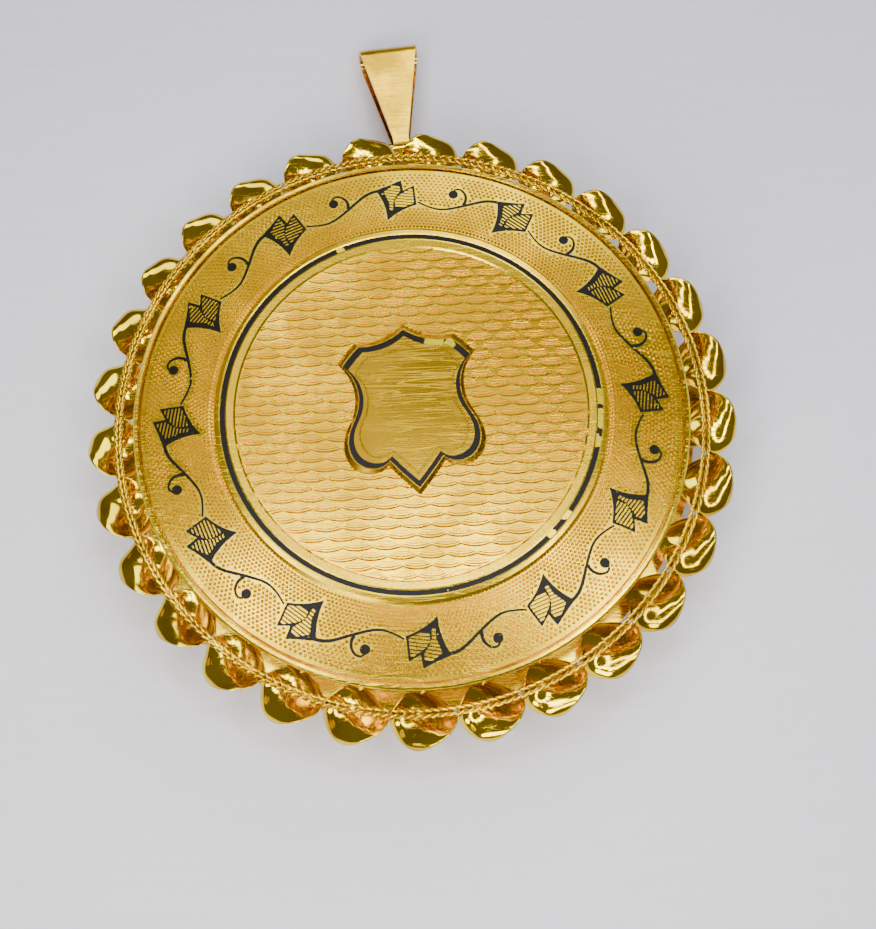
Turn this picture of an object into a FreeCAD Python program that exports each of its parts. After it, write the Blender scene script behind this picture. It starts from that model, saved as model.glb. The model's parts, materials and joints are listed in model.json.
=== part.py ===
"""Round gold locket with a twisted ribbon border, an engraved cover and a tapered bail.

Frame: millimetres, +Z up through the engraved face, +Y towards the bail, origin at the
centre of the flat back. The back half stays still, the front half with the border opens
on the hinge at -X, and the bail swings on its staple at +Y.
"""
import FreeCAD, Part
import os
from math import cos, pi, radians, sin, sqrt
import Sketcher
from FreeCAD import Placement, Rotation, Vector

X_AXIS = Vector(1, 0, 0)
Y_AXIS = Vector(0, 1, 0)
Z_AXIS = Vector(0, 0, 1)

DIMENSIONS = {
    # case halves
    "case_radius": 13.1,
    "wall": 0.5,
    "floor": 0.4,
    "parting_height": 2.6,
    "parting_gap": 0.02,
    "back_flat_radius": 11.4,
    "back_side_height": 1.4,
    "back_round": 1.2,
    "rim_radius": 13.35,
    "rim_top": 5.5,
    "rim_bottom": 5.12,
    "rim_neck": 4.95,
    "ledge_height": 5.1,
    "lip_clearance": 0.06,
    "lip_thickness": 0.35,
    "lip_rise": 0.6,
    # picture stack in each half
    "card_thickness": 0.25,
    "glass_thickness": 0.6,
    "bezel_height": 0.85,
    "bezel_width": 1.0,
    # cover
    "cover_gap": 0.05,
    "stipple_outer": 12.8,
    "stipple_inner": 9.54,
    "stipple_outer_height": 5.42,
    "stipple_inner_height": 5.7,
    "ring_radius": 9.0,
    "ring_width": 0.24,
    "ring_height": 5.88,
    "disc_radius": 8.4,
    "disc_height": 5.78,
    "cover_inside": 5.3,
    "cover_turn": 1.6,
    "inlay_depth": 0.1,
    "leaf_radius": 11.27,
    "leaf_count": 12,
    "vine_width": 0.17,
    "dot_radius": 0.24,
    # shield
    "shield_line": 0.28,
    "shield_rise": 0.16,
    "shield_flare": 1.13,
    "shield_turn": 2.1,
    # border
    "border_lobes": 29,
    "border_radius": 14.5,
    "border_reach": 1.38,
    "border_rise": 0.62,
    "border_height": 3.75,
    "border_thickness": 0.2,
    "rope_radius": 0.12,
    "shelf_radius": 13.9,
    "shelf_low": 2.64,
    "shelf_thickness": 0.24,
    "shelf_hinge_gap": 3.1,
    "shelf_tab_gap": 1.65,
    "rope_middle": 14.26,
    "solder_radius": 0.16,
    # hinge
    "hinge_offset": 0.5,
    "barrel_radius": 0.42,
    "pin_radius": 0.2,
    "pin_clearance": 0.03,
    "barrel_length": 5.4,
    "knuckle_gap": 0.06,
    "web_height": 0.36,
    # nail tab
    "tab_reach": 1.7,
    "tab_width": 3.2,
    "tab_thickness": 0.26,
    # bail and its staple
    "staple_wire": 0.3,
    "staple_half_width": 1.1,
    "staple_corner": 0.5,
    "pivot_y": 16.3,
    "pivot_z": 1.9,
    "bail_length": 7.1,
    "bail_top_radius": 0.85,
    "bail_eye": 0.4,
    "bail_thickness": 0.25,
    "bail_eye_width": 0.85,
    "bail_top_width": 3.35,
    "bail_lean": 5.0,
    "bail_droop": 9.5,
}

doc = FreeCAD.newDocument("locket")
sizes = doc.addObject("Spreadsheet::Sheet", "Sizes")
sub_parts = []


def fill_sheet():
    """Write every driving dimension into the sheet under its alias."""
    for row, (alias, number) in enumerate(DIMENSIONS.items(), start=1):
        sizes.set(f"A{row}", alias)
        sizes.set(f"B{row}", str(number))
        sizes.setAlias(f"B{row}", alias)
    doc.recompute()


def size(text):
    """Return the number that an expression on the sheet stands for."""
    return float(sizes.evalExpression(text))


def on_sheet(text):
    """Point every alias in an expression at the sheet."""
    words = sorted(DIMENSIONS, key=len, reverse=True)
    for alias in words:
        text = text.replace(alias, f"<{words.index(alias)}>")
    for alias in words:
        text = text.replace(f"<{words.index(alias)}>", f"Sizes.{alias}")
    return text


def bind(feature, **rules):
    """Tie a feature's properties to expressions on the sheet."""
    for name, text in rules.items():
        feature.setExpression(name, on_sheet(text))
    return feature


def lift(feature, text):
    """Set how high a feature stands by an expression on the sheet."""
    feature.setExpression("Placement.Base.z", on_sheet(text))
    return feature


def keep(feature, label):
    """Name a finished sub-part and list it for export."""
    feature.Label = label
    sub_parts.append(feature)
    return feature


def shaped(label, shape):
    """Hold a shape that is worked out from the sheet's values as one sub-part."""
    feature = doc.addObject("Part::Feature", label)
    feature.Shape = shape
    return keep(feature, label)


def profile_sketch(body, outline):
    """Draw a closed outline in the XZ plane with every corner tied to the sheet."""
    sketch = body.newObject("Sketcher::SketchObject", "profile")
    plane = next(item for item in body.Origin.OriginFeatures if item.Role == "XZ_Plane")
    sketch.AttachmentSupport = [(plane, "")]
    sketch.MapMode = "FlatFace"
    corners = [Vector(size(across), size(up), 0) for across, up in outline]
    count = len(corners)
    for index, start in enumerate(corners):
        sketch.addGeometry(Part.LineSegment(start, corners[(index + 1) % count]), False)
    for index in range(count):
        joint = Sketcher.Constraint("Coincident", index, 2, (index + 1) % count, 1)
        sketch.addConstraint(joint)
        for kind, axis in (("DistanceX", 0), ("DistanceY", 1)):
            rule = Sketcher.Constraint(kind, -1, 1, index, 1, corners[index][axis])
            place = sketch.addConstraint(rule)
            sketch.setExpression(f"Constraints[{place}]", on_sheet(outline[index][axis]))
    return sketch


def ring_edges(shape, radius, height):
    """Name the circular edges of a turned piece that have this radius and height."""
    names = []
    for index, edge in enumerate(shape.Edges, start=1):
        circle = edge.Curve
        if not isinstance(circle, Part.Circle):
            continue
        if abs(circle.Radius - radius) < 1e-4 and abs(circle.Center.z - height) < 1e-4:
            names.append(f"Edge{index}")
    return names


def turned(label, outline, rounds=()):
    """Turn an outline about Z, then round the edges listed as (radius, height, round)."""
    body = doc.addObject("PartDesign::Body", label)
    sketch = profile_sketch(body, outline)
    turn = body.newObject("PartDesign::Revolution", "turning")
    turn.Profile = sketch
    turn.ReferenceAxis = (sketch, ["V_Axis"])
    turn.Angle = 360
    doc.recompute()
    tip = turn
    for radius, height, rounding in rounds:
        fillet = body.newObject("PartDesign::Fillet", "rounding")
        fillet.Base = (tip, ring_edges(tip.Shape, size(radius), size(height)))
        fillet.setExpression("Radius", on_sheet(rounding))
        doc.recompute()
        tip = fillet
    body.Tip = tip
    return body


def disc(label, radius, height, thickness):
    """Make a flat round piece from expressions on the sheet."""
    feature = doc.addObject("Part::Cylinder", label)
    bind(feature, Radius=radius, Height=thickness)
    return keep(lift(feature, height), label)


# ---- back half ----

def back_shell():
    """The dished back with its upright wall."""
    outline = [
        ("0", "0"),
        ("back_flat_radius", "0"),
        ("case_radius", "back_side_height"),
        ("case_radius", "parting_height"),
        ("case_radius - wall", "parting_height"),
        ("case_radius - wall", "back_side_height + 0.25"),
        ("back_flat_radius - 0.1", "floor"),
        ("0", "floor"),
    ]
    rounds = [
        ("back_flat_radius", "0", "back_round"),
        ("case_radius", "back_side_height", "back_round"),
    ]
    return keep(turned("back_shell", outline, rounds), "back_shell")


def snap_lip():
    """The ring soldered inside the back wall that the front half snaps over."""
    outline = [
        ("case_radius - wall - lip_thickness", "back_side_height + 0.3"),
        ("case_radius - wall", "back_side_height + 0.3"),
        ("case_radius - wall", "parting_height"),
        ("case_radius - wall - lip_clearance", "parting_height"),
        ("case_radius - wall - lip_clearance", "parting_height + lip_rise - 0.08"),
        ("case_radius - wall - lip_clearance - 0.08", "parting_height + lip_rise"),
        ("case_radius - wall - lip_thickness", "parting_height + lip_rise"),
    ]
    return keep(turned("snap_lip", outline), "snap_lip")


def bezel(label, outer, seat, side):
    """A turned frame that presses on the glass. side is 1 upwards and -1 downwards."""
    outline = [
        (f"{outer} - bezel_width", f"{seat}"),
        (f"{outer}", f"{seat}"),
        (f"{outer}", f"{seat} + {side} * bezel_height"),
        (f"{outer} - 0.3", f"{seat} + {side} * bezel_height"),
        (f"{outer} - bezel_width + 0.25", f"{seat} + {side} * 0.45 * bezel_height"),
        (f"{outer} - bezel_width", f"{seat} + {side} * 0.4 * bezel_height"),
    ]
    return keep(turned(label, outline), label)


def picture_stack_back():
    """Card, glass and bezel that lie in the back half."""
    disc("back_card", "back_flat_radius - 0.2", "floor", "card_thickness")
    disc("back_glass", "back_flat_radius", "floor + card_thickness", "glass_thickness")
    outer = "case_radius - wall - lip_thickness - 0.15"
    bezel("back_bezel", outer, "floor + card_thickness + glass_thickness", 1)


# ---- hinge ----

def barrel(radius, start, length):
    """A round bar on the hinge line that begins at start along Y."""
    feature = doc.addObject("Part::Cylinder", "barrel")
    bind(feature, Radius=radius, Height=length)
    feature.Placement = Placement(Vector(0, 0, 0), Rotation(X_AXIS, -90))
    feature.setExpression("Placement.Base.x", on_sheet("-case_radius - hinge_offset"))
    feature.setExpression("Placement.Base.y", on_sheet(start))
    feature.setExpression("Placement.Base.z", on_sheet("parting_height"))
    return feature


def knuckle(start, length, web_low, bore_radius):
    """One hinge knuckle: a bored barrel with a web that reaches into the case wall."""
    web = doc.addObject("Part::Box", "web")
    bind(web, Length="hinge_offset + wall", Width=length, Height="web_height")
    web.setExpression("Placement.Base.x", on_sheet("-case_radius - hinge_offset"))
    web.setExpression("Placement.Base.y", on_sheet(start))
    web.setExpression("Placement.Base.z", on_sheet(web_low))
    joined = doc.addObject("Part::MultiFuse", "knuckle")
    joined.Shapes = [barrel("barrel_radius", start, length), web]
    inside = doc.addObject("Part::Cylinder", "inside")
    bind(inside, Radius="case_radius - 0.15", Height="3 * parting_height")
    bore = barrel(bore_radius, "-barrel_length", "2 * barrel_length")
    waste = doc.addObject("Part::MultiFuse", "waste")
    waste.Shapes = [inside, bore]
    cut = doc.addObject("Part::Cut", "knuckle_cut")
    cut.Base = joined
    cut.Tool = waste
    return cut


def hinge():
    """Two knuckles that grip the pin, and the middle one that turns on it with clearance."""
    outer = "(barrel_length - 2 * knuckle_gap) / 3"
    middle_start = f"-{outer} / 2"
    web_back = "parting_height - web_height - 0.06"
    web_front = "parting_height + 0.04"
    pair = doc.addObject("Part::Compound", "hinge_knuckles_back")
    pair.Links = [
        knuckle("-barrel_length / 2", outer, web_back, "pin_radius"),
        knuckle(f"barrel_length / 2 - {outer}", outer, web_back, "pin_radius"),
    ]
    keep(pair, "hinge_knuckles_back")
    running = "pin_radius + pin_clearance"
    keep(knuckle(middle_start, outer, web_front, running), "hinge_knuckle_front")
    pin = barrel("pin_radius", "-barrel_length / 2 - 0.12", "barrel_length + 0.24")
    keep(pin, "hinge_pin")


# ---- front half ----

def front_band():
    """The upright wall of the front half with the bright rim at its top."""
    inner = "case_radius - wall"
    outline = [
        (inner, "parting_height + parting_gap"),
        ("case_radius", "parting_height + parting_gap"),
        ("case_radius", "rim_neck"),
        ("rim_radius", "rim_bottom"),
        ("rim_radius", "rim_top - 0.1"),
        ("rim_radius - 0.1", "rim_top"),
        ("case_radius + 0.02", "rim_top"),
        ("case_radius - 0.02", "rim_top - 0.08"),
        ("case_radius - 0.02", "ledge_height"),
        (inner, "ledge_height"),
    ]
    rounds = [
        ("rim_radius", "rim_bottom", "0.12"),
        ("rim_radius", "rim_top - 0.1", "0.09"),
    ]
    return keep(turned("front_band", outline, rounds), "front_band")


def cover_blank():
    """The turned cover before engraving, with the groove for the black ring."""
    edge = "case_radius - 0.02 - cover_gap"
    ring_out = "ring_radius + ring_width / 2"
    ring_in = "ring_radius - ring_width / 2"
    outline = [
        ("0", "cover_inside"),
        ("stipple_inner", "cover_inside - 0.02"),
        ("case_radius - wall - 0.6", "ledge_height"),
        (edge, "ledge_height"),
        (edge, "stipple_outer_height - 0.08"),
        (f"{edge} - 0.08", "stipple_outer_height"),
        ("stipple_outer", "stipple_outer_height + 0.01"),
        ("stipple_inner", "stipple_inner_height"),
        ("stipple_inner - 0.16", "ring_height - 0.03"),
        (f"{ring_out} + 0.07", "ring_height"),
        (ring_out, "ring_height - 0.02"),
        (ring_out, "ring_height - inlay_depth - 0.02"),
        (ring_in, "ring_height - inlay_depth - 0.02"),
        (ring_in, "ring_height - 0.02"),
        (f"{ring_in} - 0.07", "ring_height"),
        ("disc_radius + 0.08", "ring_height - 0.02"),
        ("disc_radius", "disc_height"),
        ("0", "disc_height"),
    ]
    return turned("cover_blank", outline)


def enamel_ring():
    """The black ring that fills the groove round the middle disc."""
    outline = [
        ("ring_radius - ring_width / 2", "ring_height - inlay_depth - 0.02"),
        ("ring_radius + ring_width / 2", "ring_height - inlay_depth - 0.02"),
        ("ring_radius + ring_width / 2", "ring_height - 0.03"),
        ("ring_radius - ring_width / 2", "ring_height - 0.03"),
    ]
    return keep(turned("enamel_ring", outline), "enamel_ring")


def inlay_layer():
    """The thin skin of the stippled band that engraved lines are sunk into."""
    outline = [
        ("stipple_inner", "stipple_inner_height - inlay_depth"),
        ("stipple_outer", "stipple_outer_height + 0.01 - inlay_depth"),
        ("stipple_outer", "stipple_outer_height + 0.01"),
        ("stipple_inner", "stipple_inner_height"),
    ]
    return turned("inlay_layer", outline)


def ring_point(turn, rise, height=0.0):
    """A point on the stippled band: turn in degrees round from a leaf, rise outwards."""
    radius = size("leaf_radius") + rise
    angle = radians(90 + size("cover_turn") + turn)
    return Vector(radius * cos(angle), radius * sin(angle), height)


def round_copies(shape, count):
    """Copy a shape evenly round Z."""
    copies = []
    for index in range(count):
        copy = shape.copy()
        copy.rotate(Vector(0, 0, 0), Z_AXIS, 360 * index / count)
        copies.append(copy)
    return copies


def leaf_outline():
    """The five-cornered leaf as a closed wire of arcs, flat at height zero."""
    degree = size("leaf_radius") * pi / 180

    def at(along, rise):
        return ring_point(along / degree, rise)

    back_low, back_high = at(-0.85, 0.8), at(-1.0, -0.35)
    tip, front_low, front_high = at(0.6, -1.2), at(1.0, 0.65), at(-0.25, 1.12)
    notch = at(-0.33, 0.5)
    edges = [
        Part.LineSegment(back_low, back_high),
        Part.Arc(back_high, at(-0.35, -0.62), tip),
        Part.Arc(tip, at(0.68, -0.25), front_low),
        Part.Arc(front_low, at(0.4, 0.83), front_high),
        Part.LineSegment(front_high, notch),
        Part.LineSegment(notch, back_low),
    ]
    return Part.Wire([edge.toShape() for edge in edges])


def ribbon_face(points, width):
    """A flat tapered stroke along a smooth line, blunt at its start, fine at its end."""
    line = Part.BSplineCurve()
    line.interpolate(points)
    first, last = line.FirstParameter, line.LastParameter
    sides = ([], [])
    steps = 14
    for step in range(steps + 1):
        value = first + (last - first) * step / steps
        middle = line.value(value)
        along = line.tangent(value)[0]
        across = Vector(-along.y, along.x, 0)
        half = width / 2 * (1 - 0.45 * step / steps)
        sides[0].append(middle + across * half)
        sides[1].append(middle - across * half)
    curves = []
    for side in sides:
        curve = Part.BSplineCurve()
        curve.interpolate(side)
        curves.append(curve.toShape())
    caps = [Part.makeLine(sides[0][end], sides[1][end]) for end in (0, -1)]
    return Part.Face(Part.Wire(Part.__sortEdges__(curves + caps)))


def vine_faces():
    """One stem, its curl and the dot at the curl's end, flat at height zero."""
    stem = [(4.6, 0.58), (7.5, 0.45), (11.0, 0.05), (15.0, -0.36), (18.6, -0.55),
            (22.2, -0.42), (24.6, -0.2)]
    curl = [(12.9, -0.1), (12.6, 0.3), (13.5, 0.64), (14.9, 0.77), (16.0, 0.62)]
    width = size("vine_width")
    faces = [ribbon_face([ring_point(*place) for place in route], width)
             for route in (stem, curl)]
    dot = Part.Circle(ring_point(15.9, 0.42), Z_AXIS, size("dot_radius"))
    faces.append(Part.Face(Part.Wire(dot.toShape())))
    return faces


def engraved(label, faces, layer):
    """Sink flat shapes, copied round the band, into the skin layer."""
    depth = Vector(0, 0, 2 * size("ring_height"))
    stroke = faces[0].extrude(depth)
    if len(faces) > 1:
        stroke = stroke.fuse([face.extrude(depth) for face in faces[1:]])
    count = int(size("leaf_count"))
    inlays = [copy.common(layer.Shape) for copy in round_copies(stroke, count)]
    return shaped(label, Part.makeCompound([part for inlay in inlays for part in inlay.Solids]))


def shield_wire(scale=1.0):
    """The shield's outline: peaked top, two shoulders, waist, lobes and a point."""
    half = [(0, 3.82), (-1.05, 3.25), (-2.15, 3.15), (-2.53, 2.77), (-2.95, 2.28),
            (-2.5, 1.6), (-2.32, 0.75), (-2.52, -0.2), (-2.86, -0.9), (-2.98, -1.6),
            (-2.68, -2.4), (-2.0, -2.76), (-1.2, -2.46), (-0.66, -3.12), (0, -3.86)]
    left = [Vector(across * scale, up * scale, 0) for across, up in half]
    right = [Vector(-point.x, point.y, 0) for point in left]
    edges = []
    for side in (left, right):
        waist = Part.BSplineCurve()
        waist.interpolate(side[4:13])
        edges += [
            Part.Arc(side[0], side[1], side[2]).toShape(),
            Part.Arc(side[2], side[3], side[4]).toShape(),
            waist.toShape(),
            Part.Arc(side[12], side[13], side[14]).toShape(),
        ]
    wire = Part.Wire(Part.__sortEdges__(edges))
    wire.rotate(Vector(0, 0, 0), Z_AXIS, size("cover_turn + shield_turn"))
    return wire


def raised(wire, height):
    """Copy a wire to a height."""
    copy = wire.copy()
    copy.translate(Vector(0, 0, height))
    return copy


def shield():
    """The bevelled shield plate and the black line let into its top."""
    low = size("disc_height")
    top = low + size("shield_rise")
    depth = size("inlay_depth") / 2
    spread = size("shield_line") / 2 / 3.2
    flare = shield_wire(size("shield_flare"))
    step = shield_wire(1 + 1.4 * spread)
    bevel = Part.makeLoft([raised(flare, low), raised(step, top)], True)
    outer = Part.Face(raised(shield_wire(1 + spread), top - depth))
    inner = Part.Face(raised(shield_wire(1 - spread), top - depth))
    line = outer.cut(inner).extrude(Vector(0, 0, depth))
    shaped("shield_plate", bevel.cut(line).Solids[0])
    shaped("shield_enamel", line.Solids[0])


def cover():
    """The engraved cover with its black inlays."""
    layer = inlay_layer()
    blank = cover_blank()
    doc.recompute()
    leaves = engraved("leaf_enamel", [Part.Face(leaf_outline())], layer)
    vines = engraved("vine_enamel", vine_faces(), layer)
    inlays = doc.addObject("Part::Compound", "inlays")
    inlays.Links = [leaves, vines]
    cut = doc.addObject("Part::Cut", "front_cover")
    cut.Base = blank
    cut.Tool = inlays
    keep(cut, "front_cover")
    enamel_ring()
    shield()


def picture_stack_front():
    """Card, glass and bezel that lie in the front half, hung from the ledge."""
    radius = "case_radius - wall"
    card_low = "ledge_height - card_thickness"
    glass_low = f"{card_low} - glass_thickness"
    disc("front_card", radius + " - 0.15", card_low, "card_thickness")
    disc("front_glass", radius + " - 0.1", glass_low, "glass_thickness")
    bezel("front_bezel", radius + " - 0.05", glass_low, -1)


# ---- border ----

def border_corner(angle, corner):
    """One of the ribbon's four corners at an angle round the case, in degrees.

    The ribbon makes a half turn about its own length in each lobe, and is flattened, so
    its edges run round an ellipse.
    """
    lobes = size("border_lobes")
    reach, rise = size("border_reach"), size("border_rise")
    half = size("border_thickness") / 2
    phase = radians((angle - 90) * lobes / 2 + 90)
    side = 1 if corner in (0, 1) else -1
    face = 1 if corner in (0, 3) else -1
    edge = Vector(reach * cos(phase), rise * sin(phase), 0)
    normal = Vector(-edge.y, edge.x, 0).normalize()
    place = edge * side + normal * half * face
    radius = size("border_radius") + place.x
    turn = radians(angle)
    return Vector(radius * cos(turn), radius * sin(turn), size("border_height") + place.y)


def strip_between(first, second, steps):
    """The ruled surface between two rows of points that run side by side."""
    stations = [step / steps for step in range(steps + 1)]
    curves = []
    for points in (first, second):
        curve = Part.BSplineCurve()
        curve.interpolate(Points=points, Parameters=stations)
        curves.append(curve)
    surface = Part.BSplineSurface()
    surface.buildFromPolesMultsKnots(
        [curve.getPoles() for curve in curves], [2, 2], curves[0].getMultiplicities(),
        [0, 1], curves[0].getKnots(), False, False, 1, curves[0].Degree)
    return surface.toShape()


def twisted_border():
    """The flat wire twisted round the case, one half turn in each lobe."""
    lobes = int(size("border_lobes"))
    steps = 12
    angles = [90 + 360 / lobes * step / steps for step in range(steps + 1)]
    rows = [[border_corner(angle, corner) for angle in angles] for corner in range(4)]
    faces = [strip_between(rows[side], rows[(side + 1) % 4], steps) for side in range(4)]
    shell = Part.makeCompound([copy for face in faces for copy in round_copies(face, lobes)])
    shell.sewShape()
    solid = Part.Solid(shell.Shells[0])
    if solid.Volume < 0:
        solid.reverse()
    return shaped("twisted_border", solid)


def ropes():
    """The two fine wires that lie side by side on the ribbon's crests."""
    height = "border_height + border_rise + rope_radius - 0.04"
    for label, side in (("rope_outer", "+"), ("rope_inner", "-")):
        rope = doc.addObject("Part::Torus", label)
        bind(rope, Radius1=f"rope_middle {side} rope_radius", Radius2="rope_radius")
        keep(lift(rope, height), label)


def border_solder():
    """The solder beads that hold the inner lobes to the case wall."""
    lobes = int(size("border_lobes"))
    radius = size("case_radius + 0.05")
    bead = Part.makeSphere(size("solder_radius"))
    angle = radians(90 + 180 / lobes)
    place = Vector(radius * cos(angle), radius * sin(angle), size("border_height") - 0.1)
    bead.translate(place)
    return shaped("border_solder", Part.makeCompound(round_copies(bead, lobes)))


def border_shelf():
    """The narrow polished shelf round the case under the border, open at hinge and tab."""
    low, thick = size("shelf_low"), size("shelf_thickness")
    reach = size("shelf_radius")
    ring = Part.makeCylinder(reach, thick, Vector(0, 0, low))
    ring = ring.cut(Part.makeCylinder(size("case_radius"), 2, Vector(0, 0, low - 1)))
    for side, gap in ((-1, size("shelf_hinge_gap")), (1, size("shelf_tab_gap"))):
        corner = Vector(-reach if side < 0 else 0, -gap, low - 1)
        ring = ring.cut(Part.makeBox(reach, 2 * gap, 2, corner))
    compound = Part.makeCompound(ring.Solids)
    return shaped("border_shelf", compound)


def nail_tab():
    """The small lip under the border at +X that a fingernail lifts."""
    low = size("parting_height") + 0.06
    reach = size("case_radius + tab_reach")
    half = size("tab_width") / 2
    plate = Part.makeCylinder(reach, size("tab_thickness"), Vector(0, 0, low))
    plate = plate.cut(Part.makeCylinder(size("case_radius") - 0.15, 2, Vector(0, 0, low - 1)))
    keeper = Part.makeBox(reach, 2 * half, 2, Vector(0, -half, low - 1))
    tab = plate.common(keeper)
    ends = [edge for edge in tab.Edges
            if abs(edge.BoundBox.ZLength - size("tab_thickness")) < 1e-6
            and edge.CenterOfMass.x > size("case_radius + 1")]
    return shaped("nail_tab", tab.makeFillet(0.8, ends))


# ---- bail ----

def bail_staple():
    """The wire loop out from the back wall whose far side the bail hangs on."""
    wire = size("staple_wire")
    half, corner = size("staple_half_width"), size("staple_corner")
    far, height = size("pivot_y"), size("pivot_z")
    near = size("case_radius") - 0.3
    bend = corner * (1 - 1 / sqrt(2))
    edges = [Part.makeLine(Vector(-half, near, height), Vector(-half, far - corner, height))]
    edges.append(Part.Arc(Vector(-half, far - corner, height),
                          Vector(-half + bend, far - bend, height),
                          Vector(-half + corner, far, height)).toShape())
    edges.append(Part.makeLine(Vector(-half + corner, far, height),
                               Vector(half - corner, far, height)))
    edges.append(Part.Arc(Vector(half - corner, far, height),
                          Vector(half - bend, far - bend, height),
                          Vector(half, far - corner, height)).toShape())
    edges.append(Part.makeLine(Vector(half, far - corner, height), Vector(half, near, height)))
    section = Part.Wire(Part.makeCircle(wire, Vector(-half, near, height), Y_AXIS))
    return shaped("bail_staple", Part.Wire(edges).makePipeShell([section], True, False))


def teardrop(eye, top, length):
    """A teardrop outline in the YZ plane: small circle at the origin, large one at length."""
    lean = (top - eye) / length
    rise = sqrt(1 - lean * lean)
    small = [Vector(0, -lean * eye, side * rise * eye) for side in (1, -1)]
    large = [Vector(0, length - lean * top, side * rise * top) for side in (1, -1)]
    edges = [
        Part.makeLine(small[0], large[0]),
        Part.Arc(large[0], Vector(0, length + top, 0), large[1]).toShape(),
        Part.makeLine(large[1], small[1]),
        Part.Arc(small[1], Vector(0, -eye, 0), small[0]).toShape(),
    ]
    return Part.Face(Part.Wire(edges))


def bail():
    """The folded strip, narrow at the staple and wide at the fold, as it lies."""
    eye, strip = size("bail_eye"), size("bail_thickness")
    top = size("bail_top_radius")
    length = size("bail_length") - top
    wide = size("bail_top_width")
    loop = teardrop(eye + strip, top, length).cut(teardrop(eye, top - strip, length))
    loop.translate(Vector(-wide, 0, 0))
    loop = loop.extrude(Vector(2 * wide, 0, 0))
    low, high = -eye - strip, length + top
    narrow_half, wide_half = size("bail_eye_width") / 2, wide / 2
    corners = [(-narrow_half, low), (-narrow_half, eye), (-wide_half, high), (wide_half, high),
               (narrow_half, eye), (narrow_half, low)]
    front = Part.makePolygon([Vector(x, y, -2 * top) for x, y in corners + corners[:1]])
    piece = loop.common(Part.Face(front).extrude(Vector(0, 0, 4 * top)))
    feature = shaped("bail", piece.Solids[0])
    pivot = Vector(0, size("pivot_y"), size("pivot_z"))
    lean = Rotation(Z_AXIS, size("bail_lean"))
    droop = Rotation(X_AXIS, -size("bail_droop"))
    feature.Placement = Placement(pivot, lean.multiply(droop))
    return feature


def check_and_export():
    """Stop on any failed object or bad shape, then write one STEP file for each part."""
    doc.recompute()
    for item in doc.Objects:
        if {"Invalid", "Error"} & set(item.State):
            raise RuntimeError(f"{item.Label} failed: {item.State}")
    for part in sub_parts:
        if part.Shape.isNull() or not part.Shape.isValid() or not part.Shape.Solids:
            raise RuntimeError(f"{part.Label} has no valid solid")
    os.makedirs("parts", exist_ok=True)
    for part in sub_parts:
        part.Shape.exportStep(f"parts/{part.Label}.step")
        print(part.Label, len(part.Shape.Solids), round(part.Shape.Volume, 3))


fill_sheet()
back_shell()
snap_lip()
picture_stack_back()
hinge()
front_band()
cover()
picture_stack_front()
twisted_border()
ropes()
border_solder()
border_shelf()
nail_tab()
bail_staple()
bail()
check_and_export()
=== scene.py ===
"""Looks of the round locket: its golds, enamel, engraving, twisted border and twisted wires."""

from __future__ import annotations

import json
import logging
from dataclasses import dataclass, field
from enum import Enum
from math import cos, pi, radians, sin

import bmesh
import bpy
from mathutils import Matrix, Vector


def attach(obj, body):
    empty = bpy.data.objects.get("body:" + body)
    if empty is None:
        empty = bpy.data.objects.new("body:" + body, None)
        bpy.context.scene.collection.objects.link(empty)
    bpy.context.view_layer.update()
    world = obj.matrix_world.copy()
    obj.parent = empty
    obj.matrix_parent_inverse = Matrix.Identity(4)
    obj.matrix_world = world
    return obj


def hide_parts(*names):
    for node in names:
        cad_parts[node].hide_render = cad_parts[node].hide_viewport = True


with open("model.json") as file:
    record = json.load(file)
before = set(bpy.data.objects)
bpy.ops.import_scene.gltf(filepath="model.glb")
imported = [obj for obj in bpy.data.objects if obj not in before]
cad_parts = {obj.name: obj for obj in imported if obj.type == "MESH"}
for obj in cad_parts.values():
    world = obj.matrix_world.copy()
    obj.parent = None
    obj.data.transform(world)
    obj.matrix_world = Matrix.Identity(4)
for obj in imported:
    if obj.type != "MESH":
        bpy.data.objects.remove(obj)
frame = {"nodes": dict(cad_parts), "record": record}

LOG = logging.getLogger("locket")
MM = 0.001
TURN = 2 * pi
ROUNDING = 0.01
WELD_GAP = 0.0005
SCRATCH_TURN = 31
SCRATCH_STEP = 57
SCRATCH_WIDTH = 0.011
RAGGED_SHARE = 1.6
SOFT_SHARE = 0.86
Colour = tuple[float, float, float]
Triple = tuple[float, float, float]
Place = tuple[float, float]
Span = tuple[float, float]
Patch = tuple[float, float, float, float]


class Body(Enum):
    """The rigid bodies that pieces ride on."""

    BACK = "back_half"
    FRONT = "front_half"
    BAIL = "bail"


class Slot(Enum):
    """The record's material slots."""

    POLISHED = "polished_gold"
    BEZEL = "bezel_gold"
    ENGRAVED = "engraved_gold"
    SHIELD = "shield_gold"
    BORDER = "border_gold"
    WIRE = "wire_gold"
    BAIL = "bail_gold"
    ENAMEL = "black_enamel"
    CARD = "card"
    CRYSTAL = "crystal"


class Lay(Enum):
    """Which way two strands are laid round each other."""

    RIGHT = 1.0
    LEFT = -1.0


# ---- node trees ----


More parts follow.
